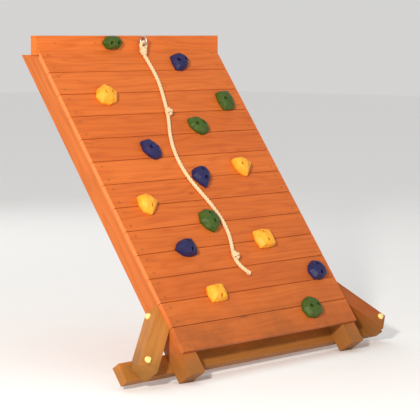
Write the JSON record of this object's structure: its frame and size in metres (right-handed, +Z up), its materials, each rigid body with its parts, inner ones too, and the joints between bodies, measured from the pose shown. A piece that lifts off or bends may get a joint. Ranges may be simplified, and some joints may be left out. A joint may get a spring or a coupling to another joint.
{
  "type": "rock climbing wall",
  "caption": "Sloping boarded play wall on two braced timber rails, with bolted rock holds, a knotted rope on an eye, a cross beam and a header that screws to a tower's deck.",
  "frame": {"origin": "on the ground, in the middle of the wall's width and of its depth from the rails' lower front edges to their upper back edges; the rope is not measured", "axes": "+X across the wall, to the right of somebody facing its boards; +Y into the tower, the way the deck screws go; +Z up"},
  "size_m": [1.77, 1.0812, 1.5034],
  "materials": {
    "frame_timber": "stained satin",
    "board_timber": "stained satin",
    "blue_rock": "moulded grain",
    "green_rock": "moulded grain",
    "yellow_rock": "moulded grain",
    "cap_plastic": "gloss",
    "zinc_steel": "zinc plated",
    "rope_fibre": "laid rope"
  },
  "bodies": {
    "root": {"board_01": "board_timber", "board_02": "board_timber", "board_03": "board_timber", "board_04": "board_timber", "board_05": "board_timber", "board_06": "board_timber", "board_07": "board_timber", "board_08": "board_timber", "board_09": "board_timber", "board_10": "board_timber", "board_11": "board_timber", "board_12": "board_timber", "board_13": "board_timber", "board_screws": "zinc_steel", "bolt_caps": "cap_plastic", "brace_bolts": "zinc_steel", "brace_lag_screws": "zinc_steel", "brace_left": "frame_timber", "brace_right": "frame_timber", "cross_beam": "frame_timber", "foot_nuts": "zinc_steel", "foot_washers": "zinc_steel", "header_board": "board_timber", "header_screws": "zinc_steel", "hold_blue_left": "blue_rock", "hold_blue_lower": "blue_rock", "hold_blue_middle": "blue_rock", "hold_blue_right": "blue_rock", "hold_blue_top": "blue_rock", "hold_bolts": "zinc_steel", "hold_green_foot": "green_rock", "hold_green_middle": "green_rock", "hold_green_right": "green_rock", "hold_green_top": "green_rock", "hold_green_upper": "green_rock", "hold_washers": "zinc_steel", "hold_yellow_foot": "yellow_rock", "hold_yellow_left": "yellow_rock", "hold_yellow_lower": "yellow_rock", "hold_yellow_right": "yellow_rock", "hold_yellow_top": "yellow_rock", "rail_lag_screws": "zinc_steel", "rail_left": "frame_timber", "rail_right": "frame_timber", "rope": "rope_fibre", "rope_end_knot": "rope_fibre", "rope_eye_knot": "rope_fibre", "rope_middle_knot": "rope_fibre", "screw_eye": "zinc_steel", "t_nuts": "zinc_steel"}
  },
  "joints": []
}
